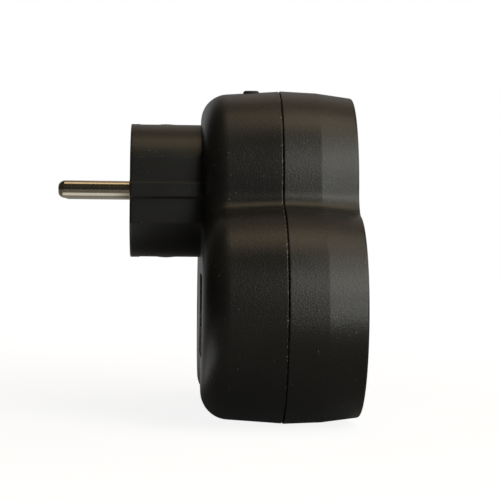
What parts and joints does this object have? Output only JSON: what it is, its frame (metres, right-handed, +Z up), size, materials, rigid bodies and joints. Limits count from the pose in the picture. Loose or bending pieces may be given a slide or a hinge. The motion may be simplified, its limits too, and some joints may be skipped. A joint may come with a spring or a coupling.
{
  "type": "three-way socket adapter",
  "caption": "Mains plug adapter with a round earthed plug nose and two pins behind, and a three-lobed housing with shuttered round socket wells in front.",
  "frame": {"origin": "centre of the plug nose's engagement face, midway between the two pins", "axes": "+Y along the pins towards the wall, +X across the pins, +Z up from the lower sockets to the upper one; the sockets open towards -Y"},
  "size_m": [0.1122, 0.0801, 0.0891],
  "materials": {
    "housing_plastic": "spark-textured moulding",
    "plated_brass": "nickel-plated, turned",
    "brass_strip": "stamped strip",
    "spring_steel": "nickel-plated strip",
    "shutter_plastic": "smooth moulding",
    "zinc_screw": "zinc-plated"
  },
  "bodies": {
    "housing": {"earth_bar": "brass_strip", "earth_link": "brass_strip", "front_shell": "housing_plastic", "left_earth_clip": "spring_steel", "left_live_contact": "plated_brass", "left_neutral_contact": "plated_brass", "left_pin": "plated_brass", "left_screw": "zinc_screw", "left_shutter_cover": "shutter_plastic", "left_shutter_spring": "spring_steel", "live_bar": "brass_strip", "neutral_bar": "brass_strip", "nose_screw": "zinc_screw", "plug_earth_sleeve": "plated_brass", "plug_earth_strip": "spring_steel", "rear_shell": "housing_plastic", "right_earth_clip": "spring_steel", "right_live_contact": "plated_brass", "right_neutral_contact": "plated_brass", "right_pin": "plated_brass", "right_screw": "zinc_screw", "right_shutter_cover": "shutter_plastic", "right_shutter_spring": "spring_steel", "top_earth_clip": "spring_steel", "top_live_contact": "plated_brass", "top_neutral_contact": "plated_brass", "top_shutter_cover": "shutter_plastic", "top_shutter_spring": "spring_steel"},
    "top_disc": {"top_shutter": "shutter_plastic"},
    "left_disc": {"left_shutter": "shutter_plastic"},
    "right_disc": {"right_shutter": "shutter_plastic"}
  },
  "joints": [
    {"name": "top_shutter_turn", "type": "hinge", "parent": "housing", "child": "top_disc", "pos_m": [0, -0.0401, 0], "axis": [0, 1, 0], "range_deg": [0, 36], "stiffness_Nm_per_rad": 0.008, "springref_deg": -11.46, "deforming": ["top_shutter_spring"]},
    {"name": "left_shutter_turn", "type": "hinge", "parent": "housing", "child": "left_disc", "pos_m": [-0.02775, -0.0401, -0.03275], "axis": [0, 1, 0], "range_deg": [0, 36], "stiffness_Nm_per_rad": 0.008, "springref_deg": -11.46, "deforming": ["left_shutter_spring"]},
    {"name": "right_shutter_turn", "type": "hinge", "parent": "housing", "child": "right_disc", "pos_m": [0.02775, -0.0401, -0.03275], "axis": [0, 1, 0], "range_deg": [0, 36], "stiffness_Nm_per_rad": 0.008, "springref_deg": -11.46, "deforming": ["right_shutter_spring"]}
  ]
}
